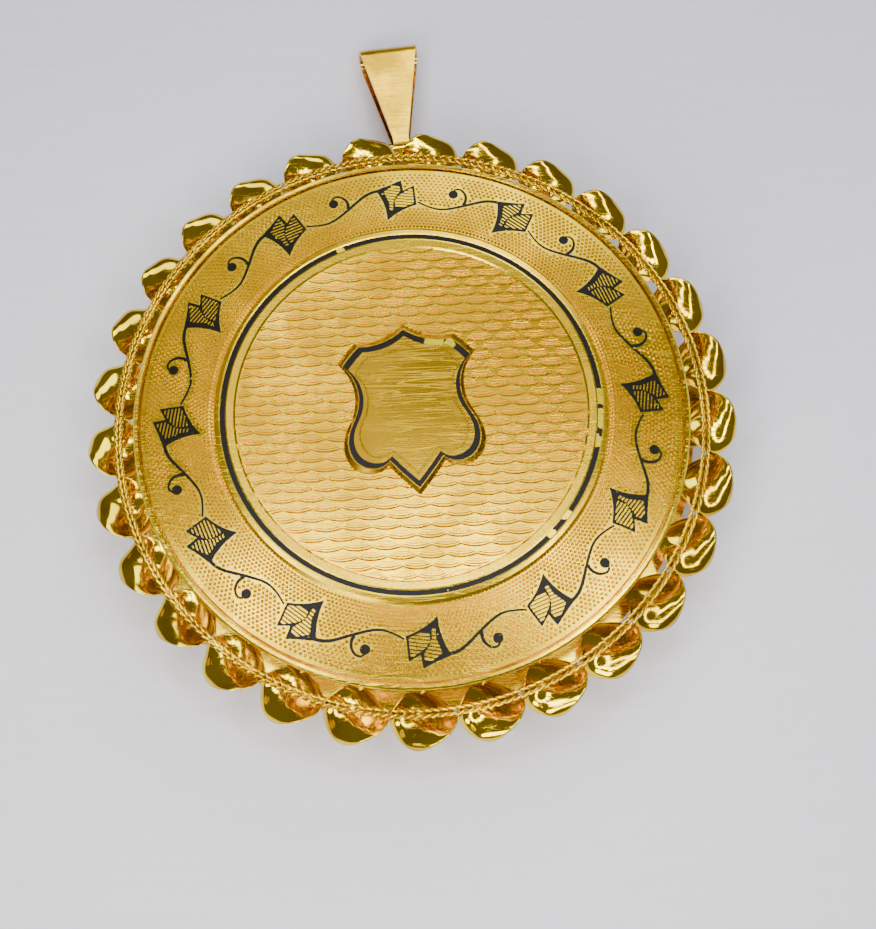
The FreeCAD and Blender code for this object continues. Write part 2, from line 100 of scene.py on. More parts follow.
class Num:
    """A number socket in a node tree; an expression on it adds its Math nodes."""

    def __init__(self, graph: Graph, socket: bpy.types.NodeSocket) -> None:
        """Hold the tree and the socket."""
        self.graph = graph
        self.socket = socket

    def maths(self, operation: str, *values: Num | float) -> Num:
        """Add one Math node.

        Args:
            operation: The Math node's operation.
            values: Its inputs in order.

        Returns:
            The node's result.
        """
        inputs = dict(enumerate(values))
        return self.graph.number("ShaderNodeMath", {"operation": operation}, inputs)

    def __add__(self, other: Num | float) -> Num:
        """Add."""
        return self.maths("ADD", self, other)

    def __radd__(self, other: float) -> Num:
        """Add, with the number first."""
        return self.maths("ADD", other, self)

    def __sub__(self, other: Num | float) -> Num:
        """Subtract."""
        return self.maths("SUBTRACT", self, other)

    def __rsub__(self, other: float) -> Num:
        """Subtract, with the number first."""
        return self.maths("SUBTRACT", other, self)

    def __mul__(self, other: Num | float) -> Num:
        """Multiply."""
        return self.maths("MULTIPLY", self, other)

    def __truediv__(self, other: Num | float) -> Num:
        """Divide."""
        return self.maths("DIVIDE", self, other)

    def __pow__(self, other: Num | float) -> Num:
        """Raise to a power."""
        return self.maths("POWER", self, other)

    def sin(self) -> Num:
        """Sine, in radians."""
        return self.maths("SINE", self)

    def cos(self) -> Num:
        """Cosine, in radians."""
        return self.maths("COSINE", self)

    def floor(self) -> Num:
        """Whole part."""
        return self.maths("FLOOR", self)

    def size(self) -> Num:
        """Absolute value."""
        return self.maths("ABSOLUTE", self)

    def sign(self) -> Num:
        """Sign, -1 or 1."""
        return self.maths("SIGN", self)

    def modulo(self, other: Num | float) -> Num:
        """Remainder."""
        return self.maths("MODULO", self, other)

    def above(self, other: Num | float) -> Num:
        """1 where this is greater, otherwise 0."""
        return self.maths("GREATER_THAN", self, other)

    def below(self, other: Num | float) -> Num:
        """1 where this is less, otherwise 0."""
        return self.maths("LESS_THAN", self, other)

    def most(self, other: Num | float) -> Num:
        """The greater of the two."""
        return self.maths("MAXIMUM", self, other)

    def step(self, low: float, high: float) -> Num:
        """Rise smoothly from 0 at low to 1 at high.

        Args:
            low: Where the rise starts.
            high: Where it ends.

        Returns:
            The eased value.
        """
        inputs = {"Value": self, "From Min": low, "From Max": high}
        settings = {"interpolation_type": "SMOOTHSTEP"}
        return self.graph.number("ShaderNodeMapRange", settings, inputs)


class Graph:
    """A node tree, with one method that makes any node."""

    def __init__(self, tree: bpy.types.NodeTree) -> None:
        """Hold the tree."""
        self.tree = tree

    def node(self, kind: str, settings: dict | None = None,
             inputs: dict | None = None) -> bpy.types.Node:
        """Add a node.

        Args:
            kind: The node's type name.
            settings: Its own properties, set first.
            inputs: Values or links by socket name or number.

        Returns:
            The node.
        """
        made = self.tree.nodes.new(kind)
        for name, value in (settings or {}).items():
            setattr(made, name, value)
        for name, value in (inputs or {}).items():
            self.feed(made.inputs[name], value)
        return made

    def feed(self, socket: bpy.types.NodeSocket, value: object) -> None:
        """Link a socket, or set its constant.

        Args:
            socket: The input.
            value: A Num, another socket, or a plain value.
        """
        if isinstance(value, Num):
            self.tree.links.new(value.socket, socket)
        elif isinstance(value, bpy.types.NodeSocket):
            self.tree.links.new(value, socket)
        elif socket.type == "RGBA" and len(value) == 3:
            socket.default_value = (*value, 1.0)
        else:
            socket.default_value = value

    def number(self, kind: str, settings: dict | None = None, inputs: dict | None = None,
               output: str | int = 0) -> Num:
        """Add a node and take one number from it.

        Args:
            kind: The node's type name.
            settings: Its own properties.
            inputs: Its sockets.
            output: The output's name or number.

        Returns:
            The output as a number.
        """
        return Num(self, self.node(kind, settings, inputs).outputs[output])

    def xyz(self, x: Num | float, y: Num | float, z: Num | float) -> bpy.types.NodeSocket:
        """Join three numbers into a vector."""
        return self.node("ShaderNodeCombineXYZ", None, {0: x, 1: y, 2: z}).outputs[0]

    def split(self, vector: bpy.types.NodeSocket) -> tuple[Num, Num, Num]:
        """Take a vector's three numbers."""
        made = self.node("ShaderNodeSeparateXYZ", None, {0: vector})
        return tuple(Num(self, made.outputs[axis]) for axis in range(3))

    def scaled(self, vector: bpy.types.NodeSocket, factor: float) -> bpy.types.NodeSocket:
        """Multiply a vector by a number."""
        inputs = {0: vector, "Scale": factor}
        return self.node("ShaderNodeVectorMath", {"operation": "SCALE"}, inputs).outputs[0]


# ---- finishes ----


class Paint(Graph):
    """A material's tree round one Principled shader, with positions in millimetres."""

    def __init__(self, name: str) -> None:
        """Start an empty material.

        Args:
            name: The material's name.
        """
        self.material = bpy.data.materials.new(name)
        self.material.use_nodes = True
        super().__init__(self.material.node_tree)
        self.tree.nodes.clear()
        self.shader = self.node("ShaderNodeBsdfPrincipled")
        self.node("ShaderNodeOutputMaterial", None, {"Surface": self.shader.outputs[0]})
        place = self.node("ShaderNodeTexCoord").outputs["Object"]
        self.place = self.scaled(place, 1 / MM)

    def set(self, **values: object) -> None:
        """Feed shader sockets, named in lower case with underscores."""
        for name, value in values.items():
            title = name.replace("_", " ").title().replace("Ior", "IOR")
            self.feed(self.shader.inputs[title], value)

    def mix(self, amount: Num, low: object, high: object) -> bpy.types.NodeSocket:
        """Mix two colours.

        Args:
            amount: 0 for the first, 1 for the second.
            low: The first colour.
            high: The second colour.

        Returns:
            The mixed colour.
        """
        settings = {"data_type": "RGBA"}
        return self.node("ShaderNodeMix", settings, {0: amount, 6: low, 7: high}).outputs[2]

    def noise(self, scale: float, detail: float = 3.0, stretch: Triple = (1, 1, 1),
              turn: float = 0.0) -> Num:
        """Noise on the piece.

        Args:
            scale: Cells per millimetre.
            detail: Octaves.
            stretch: Scale along each axis, for drawn-out grain.
            turn: Angle of the grain round Z, in degrees.

        Returns:
            Noise from 0 to 1.
        """
        place = self.place
        if turn or stretch != (1, 1, 1):
            inputs = {"Vector": place, "Rotation": (0, 0, radians(turn)), "Scale": stretch}
            place = self.node("ShaderNodeMapping", None, inputs).outputs[0]
        inputs = {"Vector": place, "Scale": scale, "Detail": detail}
        return self.number("ShaderNodeTexNoise", None, inputs)

    def scratches(self, count: int, spacing: float) -> Num:
        """Fine crossing scratches.

        Args:
            count: How many directions.
            spacing: Cells per millimetre across a scratch.

        Returns:
            1 in a scratch and 0 between them.
        """
        total: Num | None = None
        for index in range(count):
            grain = self.noise(spacing, 1.0, (0.05, 1, 1), SCRATCH_TURN + SCRATCH_STEP * index)
            line = 1 - (grain - 0.5).size().step(0.0, SCRATCH_WIDTH)
            total = line if total is None else total.most(line)
        return total

    def near(self, spot: Patch, ragged: Num) -> Num:
        """Mark what lies near a point, with a ragged edge.

        Args:
            spot: The point and the radius, in millimetres.
            ragged: Noise that breaks up the edge.

        Returns:
            1 inside and 0 outside.
        """
        inputs = {0: self.place, 1: spot[:3]}
        gap = self.number("ShaderNodeVectorMath", {"operation": "DISTANCE"}, inputs, "Value")
        radius = spot[3]
        edge = gap + (ragged - 0.5) * (radius * RAGGED_SHARE)
        return 1 - edge.step(radius * SOFT_SHARE, radius)

    def bump(self, height: Num, depth: float) -> bpy.types.NodeSocket:
        """Turn a height into a normal.

        Args:
            height: 0 to 1.
            depth: What 1 stands for, in millimetres.

        Returns:
            The normal.
        """
        inputs = {"Height": height, "Distance": depth * MM, "Strength": 1.0}
        return self.node("ShaderNodeBump", None, inputs).outputs[0]


@dataclass(frozen=True)
class Gold:
    """Yellow gold: colour, polish, tarnish in patches and handling scratches."""

    name: str
    colour: Colour
    deep: Colour
    roughness: float = 0.14
    rough_range: float = 0.1
    patch_scale: float = 0.45
    scratch_lines: int = 2
    scratch_spacing: float = 5.0
    scratch_depth: float = 0.0012
    ripple: float = 0.0015
    patch_range: Span = (0.35, 0.7)
    patch_tint: float = 0.75
    grain_scale: float = 9.0
    grain_rough: float = 0.05
    scratch_rough: float = 0.12

    def make(self) -> bpy.types.Material:
        """Build the material."""
        paint = Paint(self.name)
        patches = paint.noise(self.patch_scale, 4.0).step(*self.patch_range)
        grain = paint.noise(self.grain_scale, 3.0)
        lines = paint.scratches(self.scratch_lines, self.scratch_spacing)
        colour = paint.mix(patches * self.patch_tint, self.colour, self.deep)
        rough = (self.roughness + patches * self.rough_range + grain * self.grain_rough
                 + lines * self.scratch_rough)
        height = grain * (self.ripple / self.scratch_depth) - lines
        paint.set(base_color=colour, metallic=1.0, roughness=rough,
                  normal=paint.bump(height, self.scratch_depth))
        return paint.material


@dataclass(frozen=True)
class Enamel:
    """Black enamel that is glossy, pitted and worn through to gold in places."""

    name: str
    gold: Colour
    wear: float = 0.66
    spots: tuple[Patch, ...] = ()
    black: Colour = (0.0015, 0.0012, 0.001)
    brown: Colour = (0.010, 0.007, 0.004)
    shine: float = 0.18
    roughness: float = 0.3
    wear_edge: float = 0.03
    pit_depth: float = 0.004

    def make(self) -> bpy.types.Material:
        """Build the material."""
        paint = Paint(self.name)
        ragged = paint.noise(3.2, 4.0)
        worn = ragged.step(self.wear, self.wear + self.wear_edge)
        for spot in self.spots:
            worn = worn.most(paint.near(spot, ragged))
        mottle = paint.noise(7.0, 2.0)
        black = paint.mix(mottle, self.black, self.brown)
        paint.set(base_color=paint.mix(worn, black, self.gold), metallic=worn,
                  specular_ior_level=self.shine,
                  roughness=self.roughness + mottle * 0.2 - worn * 0.1,
                  normal=paint.bump(mottle - worn, self.pit_depth))
        return paint.material


@dataclass(frozen=True)
class Card:
    """Plain cream card with fibres."""

    name: str = "cream_card"
    colour: Colour = (0.72, 0.66, 0.53)
    shade: Colour = (0.60, 0.53, 0.40)

    def make(self) -> bpy.types.Material:
        """Build the material."""
        paint = Paint(self.name)
        fibre = paint.noise(3.5, 5.0, (0.4, 1, 1), 20)
        foxing = paint.noise(0.35, 4.0).step(0.5, 0.8)
        paint.set(base_color=paint.mix(foxing * 0.6 + fibre * 0.3, self.colour, self.shade),
                  roughness=0.82 + fibre * 0.12, normal=paint.bump(fibre, 0.012))
        return paint.material


@dataclass(frozen=True)
class Crystal:
    """Thin clear flat glass with faint smears."""

    name: str = "clear_crystal"

    def make(self) -> bpy.types.Material:
        """Build the material."""
        paint = Paint(self.name)
        smear = paint.noise(0.5, 3.0, (0.3, 1, 1), 35)
        paint.set(base_color=(0.97, 0.98, 0.98), transmission_weight=1.0, ior=1.5,
                  roughness=0.01 + smear * 0.05, normal=paint.bump(smear, 0.001))
        return paint.material


@dataclass(frozen=True)
class Paper:
    """The pale sheet underneath, finely ribbed."""

    name: str = "pale_sheet"
    shade: Colour = (0.76, 0.74, 0.82)
    colour: Colour = (0.88, 0.86, 0.92)

    def make(self) -> bpy.types.Material:
        """Build the material."""
        paint = Paint(self.name)
        fibre = paint.noise(1.6, 4.0)
        rib = paint.noise(1.4, 2.0, (0.06, 1.6, 1))
        paint.set(base_color=paint.mix(fibre * 0.5 + rib * 0.5, self.shade, self.colour),
                  roughness=0.72, normal=paint.bump(rib + fibre * 0.4, 0.018))
        return paint.material


YELLOW: Colour = (0.84, 0.61, 0.012)
DEEP_YELLOW: Colour = (0.50, 0.29, 0.002)


@dataclass(frozen=True)
class Palette:
    """Every finish of the locket, by material slot."""

    ring_gaps: tuple[Patch, ...] = (
        (9.0, 0.1, 5.88, 0.42), (8.93, -0.95, 5.88, 0.5), (8.7, -2.1, 5.88, 0.36),
        (7.0, -5.6, 5.88, 0.3), (6.2, -6.5, 5.88, 0.22), (-3.2, 8.4, 5.88, 0.2))
    shield_gaps: tuple[Patch, ...] = (
        (1.25, 3.3, 5.94, 0.5), (1.95, 3.15, 5.94, 0.3))

    def finishes(self) -> dict[Slot, object]:
        """Pair each slot with its finish."""
        return {
            Slot.POLISHED: Gold("case_gold", YELLOW, DEEP_YELLOW, 0.11),
            Slot.BEZEL: Gold("picture_frame_gold", YELLOW, DEEP_YELLOW, 0.16),
            Slot.ENGRAVED: Gold("cover_gold", (0.84, 0.56, 0.008), (0.62, 0.38, 0.003), 0.2, 0.08,
                                scratch_lines=1, ripple=0.0025),
            Slot.SHIELD: Gold("shield_gold", (0.46, 0.28, 0.006), (0.24, 0.13, 0.002), 0.18, 0.12,
                              patch_scale=0.3, scratch_lines=5, scratch_spacing=2.4,
                              scratch_depth=0.003),
            Slot.BORDER: Gold("border_gold", YELLOW, DEEP_YELLOW, 0.06, 0.05,
                              scratch_lines=1, scratch_depth=0.0005, ripple=0.0003),
            Slot.WIRE: Gold("wire_gold", (0.90, 0.63, 0.03), DEEP_YELLOW, 0.13, scratch_lines=1),
            Slot.BAIL: Gold("bail_gold", (0.84, 0.48, 0.008), DEEP_YELLOW, 0.1),
            Slot.ENAMEL: Enamel("vine_enamel_black", YELLOW, 0.7),
            Slot.CARD: Card(),
            Slot.CRYSTAL: Crystal(),
        }


class Workshop:
    """The finishes once made, and what dresses and hangs the pieces."""

    def __init__(self, palette: Palette) -> None:
        """Make every material once.

        Args:
            palette: The finishes.
        """
        self.materials = {slot: finish.make() for slot, finish in palette.finishes().items()}
        self.ring_black = Enamel("ring_enamel_black", YELLOW, 0.72, palette.ring_gaps).make()
        self.shield_black = Enamel("shield_line_black", YELLOW, 0.74, palette.shield_gaps).make()

    def dress_cad(self) -> None:
        """Give every CAD node the finish of its slot."""
        own = {"enamel_ring": self.ring_black, "shield_enamel": self.shield_black}
        for part in frame["record"]["subparts"]:
            node = part["node"]
            material = own.get(node, self.materials[Slot(part["material_slot"])])
            for holder in frame["nodes"][node].material_slots:
                holder.material = material

    def hang(self, piece: bpy.types.Object, body: Body, slot: Slot, *stands_for: str) -> None:
        """Let a finished piece ride on its body.

        Args:
            piece: The piece, at the origin.
            body: What it rides on.
            slot: Its material slot; not used.
            stands_for: CAD nodes that it replaces.
        """
        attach(piece, body.value)
        if stands_for:
            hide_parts(*stands_for)
        LOG.info("%s: %d faces on %s", piece.name, len(piece.data.polygons), body.value)


# ---- repeated shapes ----


class Pattern(Graph):
    """A Geometry Nodes tree that makes one kind of repeated or swept shape."""

    def __init__(self, name: str, **sizes: float) -> None:
        """Start the tree with its named inputs.

        Args:
            name: The tree's and the piece's name.
            sizes: Each input's name and value.
        """
        super().__init__(bpy.data.node_groups.new(name, "GeometryNodeTree"))
        self.name = name
        self.sizes = sizes
        face = self.tree.interface
        face.new_socket("Geometry", in_out="OUTPUT", socket_type="NodeSocketGeometry")
        self.keys = {
            size: face.new_socket(size, in_out="INPUT", socket_type="NodeSocketFloat").identifier
            for size in sizes}
        self.entry = self.node("NodeGroupInput")

    def given(self, name: str) -> Num:
        """Read a named input."""
        return Num(self, self.entry.outputs[name])

    def grid(self, columns: Num | float,
             rows: Num | float) -> tuple[bpy.types.NodeSocket, Num, Num]:
        """Add a grid of points.

        Args:
            columns: Points along.
            rows: Points across.

        Returns:
            The grid, and each point's column and row number.
        """
        mesh = self.node("GeometryNodeMeshGrid", None, {"Vertices X": columns, "Vertices Y": rows})
        index = self.number("GeometryNodeInputIndex")
        column = ((index + 0.5) / rows).floor()
        return mesh.outputs["Mesh"], column, index - column * rows

    def place(self, mesh: bpy.types.NodeSocket, x: Num, y: Num,
              z: Num | float) -> bpy.types.NodeSocket:
        """Move points to places given in millimetres."""
        where = self.scaled(self.xyz(x, y, z), MM)
        inputs = {"Geometry": mesh, "Position": where}
        return self.node("GeometryNodeSetPosition", None, inputs).outputs[0]

    def weld(self, mesh: bpy.types.NodeSocket) -> bpy.types.NodeSocket:
        """Close the seams of a swept grid."""
        inputs = {"Geometry": mesh, "Distance": WELD_GAP * MM}
        return self.node("GeometryNodeMergeByDistance", None, inputs).outputs[0]

    def join(self, *meshes: bpy.types.NodeSocket) -> bpy.types.NodeSocket:
        """Join several meshes."""
        made = self.node("GeometryNodeJoinGeometry")
        for mesh in meshes:
            self.tree.links.new(mesh, made.inputs[0])
        return made.outputs[0]

    def scatter(self, points: bpy.types.NodeSocket, shape: bpy.types.NodeSocket,
                rotation: object = (0, 0, 0), scale: object = (1, 1, 1)) -> bpy.types.NodeSocket:
        """Put a copy of a shape on every point."""
        inputs = {"Points": points, "Instance": shape, "Rotation": rotation, "Scale": scale}
        return self.node("GeometryNodeInstanceOnPoints", None, inputs).outputs[0]

    def drop(self, mesh: bpy.types.NodeSocket, where: Num,
             domain: str = "POINT") -> bpy.types.NodeSocket:
        """Delete what a field marks."""
        inputs = {"Geometry": mesh, "Selection": where}
        return self.node("GeometryNodeDeleteGeometry", {"domain": domain}, inputs).outputs[0]

    def gap_to(self, node: str) -> Num:
        """Measure each point's distance to a CAD node, in millimetres."""
        target = self.node("GeometryNodeObjectInfo", None, {"Object": frame["nodes"][node]})
        inputs = {0: target.outputs["Geometry"]}
        settings = {"target_element": "FACES"}
        return self.number("GeometryNodeProximity", settings, inputs, "Distance") / MM

    def here(self) -> tuple[Num, Num, Num]:
        """Read positions in millimetres."""
        spot = self.node("GeometryNodeInputPosition").outputs[0]
        return self.split(self.scaled(spot, 1 / MM))

    def bake(self, result: bpy.types.NodeSocket, material: bpy.types.Material, smooth: bool,
             closed: bool = True) -> bpy.types.Object:
        """End the tree, apply it, and leave a plain mesh.

        Args:
            result: The geometry to keep.
            material: What it is made of.
            smooth: Whether faces are shaded smooth.
            closed: Whether shapes are closed, so their faces can be turned outwards.

        Returns:
            The finished object.
        """
        real = self.node("GeometryNodeRealizeInstances", None, {"Geometry": result}).outputs[0]
        inputs = {"Geometry": real, "Material": material}
        last = self.node("GeometryNodeSetMaterial", None, inputs).outputs[0]
        self.node("NodeGroupOutput", None, {"Geometry": last})
        piece = bpy.data.objects.new(self.name, bpy.data.meshes.new(self.name))
        bpy.context.scene.collection.objects.link(piece)
        modifier = piece.modifiers.new("make", "NODES")
        modifier.node_group = self.tree
        for size, value in self.sizes.items():
            modifier[self.keys[size]] = float(value)
        graph = bpy.context.evaluated_depsgraph_get()
        mesh = bpy.data.meshes.new_from_object(piece.evaluated_get(graph), depsgraph=graph)
        piece.modifiers.remove(modifier)
        piece.data = mesh
        mesh.name = self.name
        tidy_mesh(mesh, closed)
        mesh.polygons.foreach_set("use_smooth", [smooth] * len(mesh.polygons))
        return piece


def tidy_mesh(mesh: bpy.types.Mesh, closed: bool) -> None:
    """Turn a mesh's faces outwards, or upwards where it is an open ridge.

    Args:
        mesh: The mesh.
        closed: Whether its shapes are closed.
    """
    work = bmesh.new()
    work.from_mesh(mesh)
    if closed:
        bmesh.ops.recalc_face_normals(work, faces=work.faces)
    else:
        bmesh.ops.reverse_faces(work, faces=[face for face in work.faces if face.normal.z < 0])
    work.to_mesh(mesh)
    work.free()


def mesh_piece(name: str, points: list[Vector], faces: list[tuple[int, ...]],
               material: bpy.types.Material) -> bpy.types.Object:
    """Make an object from points in millimetres.

    Args:
        name: The piece's name.
        points: Its points.
        faces: Its faces as point numbers.
        material: What it is made of.

    Returns:
        The object.
    """
    mesh = bpy.data.meshes.new(name)
    mesh.from_pydata([point * MM for point in points], [], faces)
    mesh.materials.append(material)
    tidy_mesh(mesh, True)
    piece = bpy.data.objects.new(name, mesh)
    bpy.context.scene.collection.objects.link(piece)
    return piece


# ---- border and wires ----


@dataclass
class RibbonBorder:
    """The flat ribbon twisted round the case, half a turn in each lobe."""

    radius: float = 14.5
    height: float = 3.75
    lobes: int = 29
    reach: float = 1.38
    rise: float = 0.62
    thickness: float = 0.2
    fullness: float = 0.6
    dome: float = 0.34
    skew: float = 0.24
    roundness: float = 0.9
    dome_lean: float = 1.5
    steps: int = 28
    sides: int = 16

    def build(self, shop: Workshop) -> None:
        """Sweep the ribbon's lens-shaped section."""
        tree = Pattern("ribbon_border", Radius=self.radius, Height=self.height, Lobes=self.lobes,
                       Reach=self.reach, Rise=self.rise, Thickness=self.thickness,
                       Fullness=self.fullness, Dome=self.dome, Skew=self.skew)
        along = self.lobes * self.steps
        mesh, column, row = tree.grid(along + 1, self.sides + 1)
        angle = column * (TURN / along)
        round_section = row * (TURN / self.sides)
        even = (angle - pi / 2) * (tree.given("Lobes") / 2) + pi / 2
        phase = even + even.cos() * even.cos() * tree.given("Skew")
        across = round_section.cos()
        bulge = round_section.sin()
        through = bulge.sign() * bulge.size() ** self.roundness * (tree.given("Thickness") / 2)
        swing = phase.cos()
        edge_out = swing.sign() * swing.size() ** tree.given("Fullness") * tree.given("Reach")
        edge_up = phase.sin() * tree.given("Rise")
        length = (edge_out * edge_out + edge_up * edge_up) ** 0.5
        out = edge_out * across - edge_up / length * through
        up = edge_up * across + edge_out / length * through
        outward = (across * swing).most(0.0)
        domed = up + (outward ** self.dome_lean * pi).sin() * tree.given("Dome")
        reach = tree.given("Radius") + out
        placed = tree.place(mesh, reach * angle.cos(), reach * angle.sin(),
                            tree.given("Height") + domed)
        piece = tree.bake(tree.weld(placed), shop.materials[Slot.BORDER], True)
        shop.hang(piece, Body.FRONT, Slot.BORDER, "twisted_border")


@dataclass
class TwistedWire:
    """Two strands laid round each other in a ring."""

    name: str
    node: str
    radius: float
    lay: Lay
    height: float = 4.45
    turns: int = 116
    offset: float = 0.055
    strand: float = 0.064
    flattening: float = 1.15
    steps: int = 10
    sides: int = 7

    def build(self, shop: Workshop) -> None:
        """Sweep both strands."""
        tree = Pattern(self.name, Radius=self.radius, Height=self.height, Offset=self.offset,
                       Strand=self.strand, Turns=self.turns * self.lay.value)
        strands = [self.strand_mesh(tree, pi * index) for index in range(2)]
        piece = tree.bake(tree.weld(tree.join(*strands)), shop.materials[Slot.WIRE], True)
        shop.hang(piece, Body.FRONT, Slot.WIRE, self.node)

    def strand_mesh(self, tree: Pattern, start: float) -> bpy.types.NodeSocket:
        """Make one strand.

        Args:
            tree: The wire's tree.
            start: Where in the twist it begins, in radians.

        Returns:
            Its mesh.
        """
        along = self.turns * self.steps
        mesh, column, row = tree.grid(along + 1, self.sides + 1)
        angle = column * (TURN / along)
        section = row * (TURN / self.sides)
        twist = angle * tree.given("Turns") + start
        outward = tree.given("Offset") + section.cos() * tree.given("Strand")
        sideways = section.sin() * tree.given("Strand") * self.flattening
        reach = tree.given("Radius") + outward * twist.cos() - sideways * twist.sin()
        up = outward * twist.sin() + sideways * twist.cos()
        return tree.place(mesh, reach * angle.cos(), reach * angle.sin(), tree.given("Height") + up)


# ---- cover ----


@dataclass
class StippledBand:
    """The sloping band round the cover: its small pyramids, leaves and vine."""

    inner: float = 9.54
    outer: float = 12.8
    inner_height: float = 5.7
    outer_height: float = 5.42
    columns: int = 318
    rows: int = 19
    stud: float = 0.1
    stud_height: float = 0.1
    stud_tip: float = 0.018
    margin: float = 0.12
    clear: float = 0.1

    def build(self, shop: Workshop) -> None:
        """Set a pyramid on every crossing that no leaf or vine covers."""
        slope = (self.inner_height - self.outer_height) / (self.outer - self.inner)
        pitch = (self.outer - self.inner - 2 * self.margin) / (self.rows - 1)
        tree = Pattern("stipple_pyramids", Inner=self.inner + self.margin, Pitch=pitch,
                       Stud=self.stud * MM, Tall=self.stud_height * MM, Clear=self.clear)
        mesh, column, row = tree.grid(self.columns, self.rows)
        angle = (column + row.modulo(2) * 0.5) * (TURN / self.columns)
        reach = tree.given("Inner") + row * tree.given("Pitch")
        up = self.inner_height - (reach - self.inner) * slope
        points = tree.place(mesh, reach * angle.cos(), reach * angle.sin(), up)
        for node in ("leaf_enamel", "vine_enamel"):
            points = tree.drop(points, tree.gap_to(node).below(tree.given("Clear")))
        sizes = {"Vertices": 4, "Radius Top": self.stud_tip * MM,
                 "Radius Bottom": tree.given("Stud"), "Depth": tree.given("Tall")}
        stud = tree.node("GeometryNodeMeshCone", None, sizes).outputs["Mesh"]
        x, y, _ = tree.here()
        spin = x.maths("ARCTAN2", y, x)
        studs = tree.scatter(points, stud, tree.xyz(0.0, 0.0, spin))
        piece = tree.bake(studs, shop.materials[Slot.ENGRAVED], False)
        shop.hang(piece, Body.FRONT, Slot.ENGRAVED)


@dataclass
class TurnedDisc:
    """The engine-turned disc: rows of nested scales cut as fine arcs."""

    radius: float = 8.34
    height: float = 5.78
    scale_width: float = 1.37
    row_pitch: float = 0.485
    nested: int = 4
    curl: float = 0.3
    line: float = 0.044
    ridge: float = 0.075
    root: float = 0.004
    narrowing: float = 0.6
    arc_points: int = 9

    def build(self, shop: Workshop) -> None:
        """Lay every arc and trim them to the disc."""
        tree = Pattern("turned_scales", Radius=self.radius, Height=self.height, Curl=self.curl,
                       Line=self.line, Ridge=self.ridge)
        lines = int(2 * self.radius / self.row_pitch * self.nested) + self.nested
        columns = int(2 * self.radius / self.scale_width) + 3
        mesh, column, row = tree.grid(columns, lines)
        level = row.modulo(self.nested)
        band = (row / self.nested + ROUNDING).floor()
        narrow = 1 - level * (self.narrowing / self.nested)
        across = (column - (columns - 1) / 2 + band.modulo(2) * 0.5) * self.scale_width
        up = row * (self.row_pitch / self.nested) - self.radius - self.row_pitch
        points = tree.place(mesh, across, up, self.height)
        store = {"Geometry": points, "Name": "narrow", "Value": narrow}
        points = tree.node("GeometryNodeStoreNamedAttribute", None, store).outputs[0]
        kept = tree.number("GeometryNodeInputNamedAttribute", {"data_type": "FLOAT"},
                           {"Name": "narrow"}, "Attribute")
        arcs = tree.scatter(points, self.arc(tree), scale=tree.xyz(kept, kept * kept, 1.0))
        real = tree.node("GeometryNodeRealizeInstances", None, {"Geometry": arcs}).outputs[0]
        x, y, _ = tree.here()
        outside = ((x * x + y * y) ** 0.5).above(tree.given("Radius"))
        trimmed = tree.drop(real, outside, "FACE")
        piece = tree.bake(trimmed, shop.materials[Slot.ENGRAVED], False, closed=False)
        shop.hang(piece, Body.FRONT, Slot.ENGRAVED)

    def arc(self, tree: Pattern) -> bpy.types.NodeSocket:
        """Make one arc as a fine ridge.

        Args:
            tree: The disc's tree.

        Returns:
            Its mesh.
        """
        mesh, column, row = tree.grid(self.arc_points, 3)
        along = column / ((self.arc_points - 1) / 2) - 1
        side = row - 1
        across = along * (self.scale_width / 2)
        up = across * across * tree.given("Curl") + side * tree.given("Line")
        crest = (1 - side.size()) * tree.given("Ridge") - self.root
        return tree.place(mesh, across, up, crest)


@dataclass(frozen=True)
class Leaf:
    """One engraved leaf: along and outwards in millimetres from its middle."""

    back: tuple[Place, ...] = ((-0.76, 0.66), (-0.87, -0.27), (-0.3, -0.5), (0.1, -0.62),
                               (0.12, -0.1), (-0.1, 0.2), (-0.34, 0.36))
    front: tuple[Place, ...] = ((0.24, -0.62), (0.42, -0.8), (0.4, -0.2), (0.62, 0.48),
                                (0.26, 0.72), (-0.12, 0.95), (-0.2, 0.5), (0.06, 0.12),
                                (0.2, -0.2))


